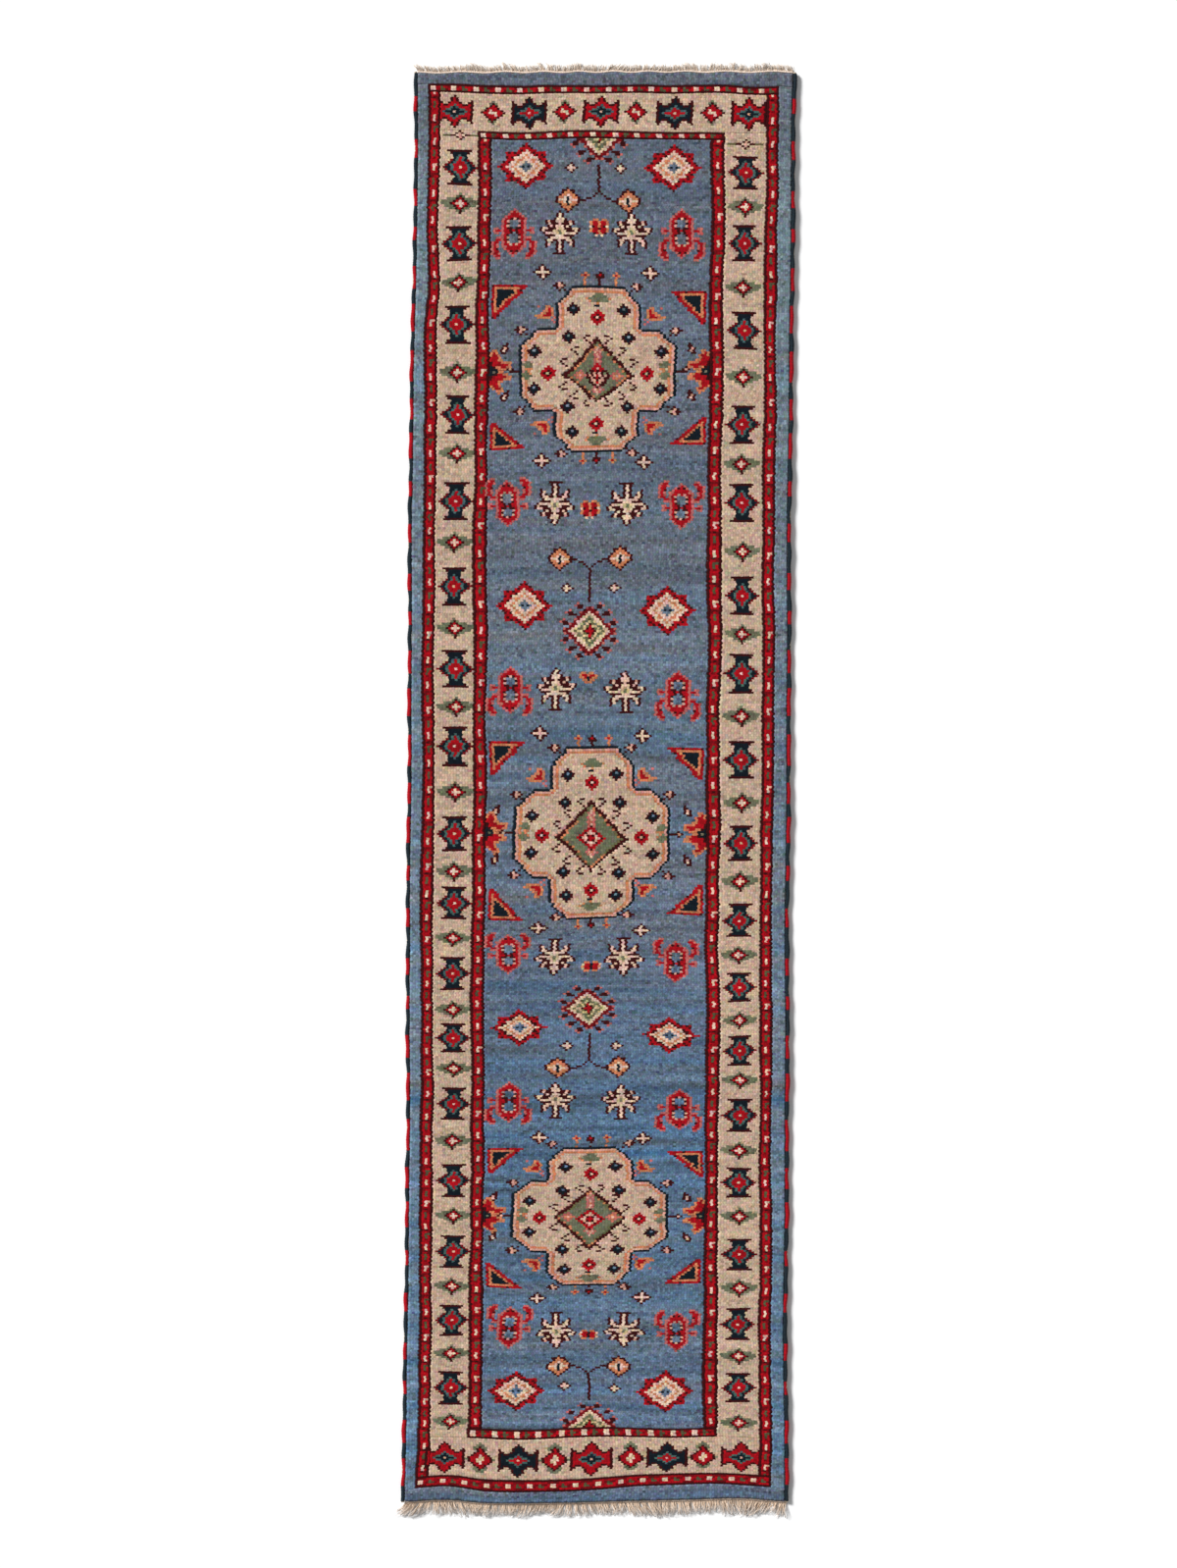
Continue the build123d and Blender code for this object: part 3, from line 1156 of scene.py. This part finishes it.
def knot_all_pile(cloth, colour):
    """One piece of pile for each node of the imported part."""
    lattice = tuft_lattice(cloth)
    made = []

    def add(part, mask, slot):
        made.append(knots(f"knots_{part}", mask, lattice, colour, slot, f"pile_{part}"))

    def block(top, bottom, left, right):
        mask = np.zeros(cloth.shape, bool)
        mask[top:bottom, left:right] = True
        return mask

    slots = ("edge_band_wool", "guard_wool", "border_wool", "guard_wool")
    for level, (zone, slot) in enumerate(zip(ZONES, slots)):
        top, bottom, left, right = frame_of(level)
        in_top, in_bottom, in_left, in_right = frame_of(level + 1)
        bars = {
            "top": (top, in_top, left, right),
            "bottom": (in_bottom, bottom, left, right),
            "left": (in_top, in_bottom, left, in_left),
            "right": (in_top, in_bottom, in_right, right),
        }
        for side, bar in bars.items():
            add(f"{zone}_{side}", block(*bar), slot)
    taken = np.zeros(cloth.shape, bool)
    cuts = [FIELD_TOP]
    for name, (col, row, end, drop, up, down, *_) in MEDALLIONS.items():
        whole = medallion_mask(col, row, end)
        centre = heart_rings(col, row + drop, up, down) <= 1
        add(f"medallion_{name}", whole & ~centre, "medallion_wool")
        add(f"medallion_heart_{name}", centre, "heart_wool")
        taken |= whole
        low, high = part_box(f"pile_medallion_{name}")
        cuts.append(nearest_row((low.y + high.y) / 2))
    cuts.append(FIELD_END)
    for name, first, end in zip(STRETCHES, cuts, cuts[1:]):
        stretch = block(first, end, FIELD_LEFT, FIELD_LEFT + FIELD_KNOTS)
        add(f"field_{name}", stretch & ~taken, "field_wool")
    return made


# ---- ground cloth, with the backs of the knots on its underside ----
SKIN = 0.0001                # the gap between a piece and what it lies on
KNOTS_PER_TOP_FACE = 23      # the cloth's top is hidden, so its faces are wide


def ground_cloth(colour):
    """Warp and weft under the pile as one closed cloth."""
    x, y = np.meshgrid(COL_X, ROW_Y)
    rng = np.random.default_rng(8)
    under = np.stack([x, y, SKIN + 0.00015 * rng.random(x.shape)], -1).reshape(-1, 3)
    x_top, y_top = np.meshgrid(COL_X[::KNOTS_PER_TOP_FACE], ROW_Y)
    over = np.stack([x_top, y_top, np.full(x_top.shape, PILE_BASE - SKIN)], -1).reshape(-1, 3)
    wide, few = COLS + 1, COLS // KNOTS_PER_TOP_FACE + 1
    offset = len(under)
    backs = grid_faces(ROWS + 1, wide)
    tops = grid_faces(ROWS + 1, few, offset)[:, ::-1]
    rows = np.arange(ROWS)
    left_low, left_high = rows * wide, offset + rows * few
    left = np.stack([left_high + few, left_high, left_low, left_low + wide], -1)
    right_low, right_high = left_low + COLS, left_high + few - 1
    right = np.stack([right_low, right_low + wide, right_high + few, right_high], -1)
    ends = []
    for strip in range(few - 1):
        low = np.arange(strip * KNOTS_PER_TOP_FACE, (strip + 1) * KNOTS_PER_TOP_FACE + 1)
        high = offset + np.array([strip + 1, strip])
        ends.append(np.concatenate([low, high])[::-1])
        ends.append(np.concatenate([low[::-1] + ROWS * wide, high[::-1] + ROWS * few])[::-1])
    faces = [backs, tops, left, right, np.array(ends)]
    tint = colour.reshape(-1, 3)
    cotton = reflected(GROUND_COTTON)
    colours = [np.repeat(tint[:, None], 4, 1) * BACK_SHADE]
    colours += [np.tile(cotton, (f.size, 1)) for f in faces[1:]]
    smooth = (True, False, False, False, False)
    return piece("ground_cloth", np.concatenate([under, over]), faces, colours, smooth,
                 "foundation_cotton", ["warp_threads", "weft_threads"])


# ---- yarns and cords ----
def tubes(paths, radii, sides):
    """Closed round tubes. paths is (count, points, 3) and radii (count, points)."""
    along = np.gradient(paths, axis=1)
    along /= np.linalg.norm(along, axis=-1, keepdims=True)
    across = np.cross((0.0, 0.0, 1.0), along)
    across /= np.linalg.norm(across, axis=-1, keepdims=True)
    lift = np.cross(along, across)
    turn = np.linspace(0, 2 * math.pi, sides, endpoint=False)[:, None]
    ring = np.cos(turn) * across[:, :, None] + np.sin(turn) * lift[:, :, None]
    points = paths[:, :, None] + radii[..., None, None] * ring
    index = np.arange(points[..., 0].size).reshape(points.shape[:3])
    here, there = index[:, :-1], index[:, 1:]
    quads = np.stack([here, np.roll(here, -1, 2), np.roll(there, -1, 2), there], -1)
    caps = np.concatenate([index[:, 0, ::-1], index[:, -1]])
    return points.reshape(-1, 3), [quads.reshape(-1, 4), caps]


def tube_colours(tints, faces, sides):
    """Corner colours for tubes(). tints is (count, points, 3)."""
    at_point = np.repeat(tints[:, :, None], sides, 2).reshape(-1, 3)
    return [at_point[f] for f in faces]


def plied(start, end, strands, cord_radius, twist, step):
    """Paths and radii of strands twisted round the line from start to end."""
    start, end = np.asarray(start), np.asarray(end)
    length = np.linalg.norm(end - start)
    t = np.linspace(0, 1, max(2, round(length / step)))
    axis = start + t[:, None] * (end - start)
    way = (end - start) / length
    side = np.cross((0, 0, 1), way)
    strand = cord_radius / (1 + 1 / math.sin(math.pi / strands)) if strands > 2 else cord_radius / 2
    spin = cord_radius - strand
    paths = []
    for k in range(strands):
        angle = 2 * math.pi * (t * length / twist + k / strands)
        paths.append(axis + spin * (np.cos(angle)[:, None] * side + np.sin(angle)[:, None] * (0, 0, 1)))
    return np.array(paths), np.full((strands, len(t)), strand * 1.08)


def cord_piece(name, start, end, strands, radius, twist, step, sides, tint, slot, nodes, seed):
    """A plied cord as a closed mesh, its yarns a little uneven in colour."""
    rng = np.random.default_rng(seed)
    paths, radii = plied(start, end, strands, radius, twist, step)
    points, faces = tubes(paths, radii, sides)
    shade = 1 + 0.1 * rng.standard_normal(paths.shape[:2])[..., None]
    colours = tube_colours(np.clip(tint * shade, 0.003, 0.95), faces, sides)
    return piece(name, points, faces, colours, (True, False), slot, nodes)


# ---- selvedges ----
WRAP_PITCH = 0.0017          # one turn of the overcasting yarn
WRAP_RINGS = 3               # rings of the mesh for each turn
WRAP_SIDES = 10
WRAP_RELIEF = 0.00055
WRAP_FULLNESS = 0.86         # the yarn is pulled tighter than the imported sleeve


def wrap_lengths(node_name):
    """Lowest and highest place along the rug of each coloured length of a wrap."""
    ys = sorted({round(v.co.y, 5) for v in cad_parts[node_name].data.vertices})
    return list(zip(ys[::2], ys[1::2]))


def selvedge_wrap(name, node_name, tint, slot, seed):
    """The overcast yarn of one colour on one edge, turn beside turn."""
    low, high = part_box(node_name)
    core_low, core_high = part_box(node_name.replace("wrap_navy", "core").replace("wrap_red", "core"))
    middle_x = (core_low.x + core_high.x) / 2
    middle_z = (core_low.z + core_high.z) / 2
    radius = WRAP_FULLNESS * (high.z - low.z) / 2 - WRAP_RELIEF / 2
    side = 1 if middle_x > 0 else -1
    angle = np.linspace(0, 2 * math.pi, WRAP_SIDES, endpoint=False)
    points, tints, quads, caps = [], [], [], []
    offset = 0
    for start, end in wrap_lengths(node_name):
        rings = max(4, round((end - start) / WRAP_PITCH * WRAP_RINGS))
        y = np.linspace(start, end, rings)[:, None]
        turn = y / WRAP_PITCH - side * angle / (2 * math.pi) * 2
        ridge = abs(np.sin(math.pi * turn)) ** 0.7
        number = np.floor(turn).astype(int)
        thick = 0.00018 * np.sin(number * 2.399 + seed) + 0.00025 * np.sin(31 * y + seed)
        r = radius - WRAP_RELIEF / 2 + WRAP_RELIEF * ridge + thick
        sway = 0.0006 * np.sin(57 * y + seed) + 0.0007 * np.sin(143 * y + 2 * seed) - side * 0.0003
        ring = np.stack([
            middle_x + sway + r * np.cos(angle),
            y + 0 * angle,
            middle_z + r * np.sin(angle),
        ], -1)
        points.append(ring.reshape(-1, 3))
        index = offset + np.arange(rings * WRAP_SIDES).reshape(rings, WRAP_SIDES)
        here, there = index[:-1], index[1:]
        corners = [here, there, np.roll(there, -1, 1), np.roll(here, -1, 1)]
        quads.append(np.stack(corners, -1).reshape(-1, 4))
        caps += [index[0], index[-1, ::-1]]
        offset += rings * WRAP_SIDES
        # Painted shade in the grooves between turns, times a real change of tone from turn to turn.
        shade = (0.62 + 0.45 * ridge) * (1 + 0.1 * np.sin(number * 4.7 + seed))
        tints.append((tint * shade[..., None]).reshape(-1, 3))
    faces = [np.concatenate(quads), np.array(caps)]
    at_point = np.concatenate(tints)
    colours = [at_point[f] for f in faces]
    return piece(name, np.concatenate(points), faces, colours, (True, False), slot, [node_name])


def selvedges():
    """Both long edges: plied core, navy turns and red turns."""
    made = []
    for seed, side in enumerate(("left", "right")):
        low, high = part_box(f"selvedge_core_{side}")
        x, z = (low.x + high.x) / 2, (low.z + high.z) / 2
        made.append(cord_piece(
            f"core_{side}", (x, low.y - 0.002, z), (x, high.y + 0.002, z), 3, (high.x - low.x) / 2,
            0.02, 0.0035, 6, reflected(CORE_COTTON), "core_cotton", [f"selvedge_core_{side}"], 40 + seed))
        for hue, srgb in WRAP_DYES.items():
            made.append(selvedge_wrap(
                f"wrap_{hue}_{side}", f"selvedge_wrap_{hue}_{side}", reflected(srgb),
                f"selvedge_{hue}_wool", 3 + seed))
    return made


# ---- ends: flat-woven lip, twined cord and fringe ----
def lip(label):
    """The narrow flat weave past the last knots, its weft crossing over and under the warps."""
    low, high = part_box(f"end_weave_{label}")
    warps, picks = 2 * COLS, 5
    nx, ny = warps * 2 + 1, picks * 2 + 1
    x, y = np.meshgrid(np.linspace(low.x, high.x, nx), np.linspace(low.y, high.y, ny))
    i, j = np.meshgrid(np.arange(nx), np.arange(ny))
    over = np.where((i // 2 + j // 2) % 2 == 0, 1, -1) * (i % 2) * (j % 2)
    top_z = high.z - 0.0004 + 0.00035 * over - 0.0003 * ((j % 2) == 0)
    top = np.stack([x, y, top_z], -1).reshape(-1, 3)
    base = np.stack([x, y, np.full(x.shape, low.z + SKIN)], -1).reshape(-1, 3)
    upper = grid_faces(ny, nx)
    lower = upper[:, ::-1] + nx * ny
    rim = np.concatenate([
        np.arange(nx), nx * np.arange(1, ny) + nx - 1,
        nx * ny - 2 - np.arange(nx - 1), nx * (ny - 2 - np.arange(ny - 2))])
    after = np.roll(rim, -1)
    walls = np.stack([rim, rim + nx * ny, after + nx * ny, after], -1)
    faces = [upper, lower, walls]
    rng = np.random.default_rng(21)
    colours = []
    for f in faces:
        shade = 1 + 0.12 * rng.standard_normal((len(f), 1, 1))
        colours.append(np.clip(reflected(LIP_COTTON_WITH_PAINTED_LIGHT) * shade, 0.01, 0.9) * np.ones((1, 4, 1)))
    return piece(f"lip_{label}", np.concatenate([top, base]), faces, colours,
                 (True, False, False), "end_cotton", [f"end_weave_{label}"])


def twining(label):
    """The twisted pair of yarns that locks the weave."""
    low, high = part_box(f"end_twining_{label}")
    y, z = (low.y + high.y) / 2, high.z - (high.y - low.y) / 2
    return cord_piece(
        f"twining_{label}", (low.x, y, z), (high.x, y, z), 2, (high.y - low.y) / 2,
        0.0062, 0.0007, 6, reflected(TWINING_COTTON_WITH_PAINTED_LIGHT), "end_cotton",
        [f"end_twining_{label}"], 60)


TASSELS = 52
THREAD_POINTS = 10
THREAD_SIDES = 5
THREAD_OVERLAP = 0.003       # how far a thread starts inside the lip
# Threads in a tassel, the least and greatest reach of a tassel as shares of the CAD fringe, how
# far the threads lean and curl, and their colours at the root and the tip.
FRINGES = {
    "top": {
        "threads": 14, "reach": (0.6, 1.0), "lean": 0.42, "curl": 0.004,
        "root": (220, 200, 180), "tip": (244, 235, 226),
    },
    "bottom": {
        "threads": 15, "reach": (0.56, 0.84), "lean": 0.45, "curl": 0.008,
        "root": (226, 201, 177), "tip": (243, 237, 233),
    },
}


def fringe(label, outward, seed):
    """Cut warp ends in leaning clusters, untwisting into pale wisps at their tips."""
    rng = np.random.default_rng(seed)
    low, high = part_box(f"fringe_{label}")
    facts = FRINGES[label]
    root = low.y if outward > 0 else high.y
    length = high.y - low.y
    count = TASSELS * facts["threads"]
    cluster = np.repeat(np.arange(TASSELS), facts["threads"])
    pitch = (high.x - low.x) / TASSELS
    centre = low.x + (cluster + 0.5) * pitch
    start_x = low.x + (np.arange(count) + 0.5) * (high.x - low.x) / count
    gather = rng.uniform(0.25, 0.75, TASSELS)[cluster]
    lean = facts["lean"] * smooth_noise(rng, (TASSELS, 1), 1.2, 0)[:, 0]
    lean = lean[cluster] + 0.22 * rng.standard_normal(count)
    edge = (np.arange(count) / (count - 1) * 2 - 1) ** 9
    lean += 0.35 * edge
    start_x = start_x + 0.004 * np.maximum(edge, 0)
    reach = rng.uniform(*facts["reach"], TASSELS)[cluster] * rng.uniform(0.75, 1.1, count) * length
    t = np.linspace(0, 1, THREAD_POINTS)
    wiggle = rng.uniform(0, 2 * math.pi, (3, count, 1))
    sway = 0.0007 * np.sin(5 * t + wiggle[0]) + 0.0004 * np.sin(11 * t + wiggle[1])
    pull = gather[:, None] * np.sin(math.pi * np.minimum(t * 1.6, 1) / 2) * np.exp(-1.2 * t)
    x = start_x[:, None] + (centre - start_x)[:, None] * pull
    x = x + (lean * reach)[:, None] * t ** 1.3 + (sway - sway[:, :1]) * np.minimum(3 * t, 1)
    y = root + outward * (reach[:, None] * t - THREAD_OVERLAP * (1 - t))
    thick = rng.uniform(0.0004, 0.0007, count)[:, None] * (1 - 0.45 * t ** 2)
    layer = rng.random(count)[:, None]
    raised = (0.0011 - thick) * (1 - t) ** 2 * layer
    curled = facts["curl"] * layer * np.sin(0.75 * math.pi * t) ** 2
    z = thick + SKIN + raised + curled
    paths = np.stack([x, y, z], -1)
    fade = np.clip((t - 0.45) / 0.5, 0, 1)[None, :, None] * rng.uniform(0.3, 1, count)[:, None, None]
    tints = reflected(facts["root"]) * (1 - fade) + reflected(facts["tip"]) * fade
    tints = np.clip(tints * (1 + 0.16 * rng.standard_normal((count, 1, 1))), 0.02, 0.95)
    points, faces = tubes(paths, thick, THREAD_SIDES)
    colours = tube_colours(tints, faces, THREAD_SIDES)
    return piece(f"tassels_{label}", points, faces, colours, (True, False), "fringe_cotton",
                 [f"fringe_{label}"])


# ---- the rug ----
chart_of_rug = woven()
knot_colours = dyed(chart_of_rug)
on_cloth = knot_all_pile(chart_of_rug, knot_colours)
cloth_piece = ground_cloth(knot_colours)
on_cloth += selvedges()
for end, way in (("top", 1), ("bottom", -1)):
    on_cloth += [lip(end), twining(end), fringe(end, way, 70 + way)]

# ---- floor, light and camera ----
scene = bpy.context.scene
FLOOR = 40.0                 # from the middle of the floor to its sides
floor_mesh = bpy.data.meshes.new("floor")
corners = [(-FLOOR, -FLOOR, 0), (FLOOR, -FLOOR, 0), (FLOOR, FLOOR, 0), (-FLOOR, FLOOR, 0)]
floor_mesh.from_pydata(corners, [], [(0, 1, 2, 3)])
floor = bpy.data.objects.new("floor", floor_mesh)
scene.collection.objects.link(floor)
paint = bpy.data.materials.new("pale_floor")
paint.use_nodes = True
coat = {"Base Color": (0.9, 0.9, 0.9, 1), "Roughness": 1.0, "Specular IOR Level": 0.0}
fill(paint.node_tree.nodes["Principled BSDF"], coat)
floor_mesh.materials.append(paint)

world = bpy.data.worlds.new("studio")
world.use_nodes = True
scene.world = world
tree = world.node_tree
sky = tree.nodes["Background"]
direction = node(tree, "ShaderNodeTexCoord")
height = node(tree, "ShaderNodeSeparateXYZ")
ramp = node(tree, "ShaderNodeValToRGB")
link = tree.links.new
link(direction.outputs["Generated"], height.inputs["Vector"])
link(height.outputs["Z"], ramp.inputs["Fac"])
link(ramp.outputs["Color"], sky.inputs["Color"])
low_sky, high_sky = ramp.color_ramp.elements
low_sky.position = 0.25
low_sky.color = (0.6, 0.605, 0.61, 1)
high_sky.position = 0.5
high_sky.color = (0.3, 0.305, 0.31, 1)

lamp = bpy.data.lights.new("softbox", "SUN")
lamp.energy = 4.5
lamp.angle = math.radians(16)
softbox = bpy.data.objects.new("softbox", lamp)
softbox.rotation_euler = (0, math.radians(-54), math.radians(-38))
scene.collection.objects.link(softbox)

VIEW_HEIGHT = 8.0
VIEW_UP = 2.61               # how much of the floor the picture takes in, top to bottom
camera = bpy.data.objects.new("camera", bpy.data.cameras.new("camera"))
camera.data.sensor_width = 36.0
camera.data.lens = camera.data.sensor_width * VIEW_HEIGHT / VIEW_UP
camera.location = (-0.019, 0.0114, VIEW_HEIGHT)
scene.collection.objects.link(camera)
scene.camera = camera
scene.view_settings.view_transform = "Standard"
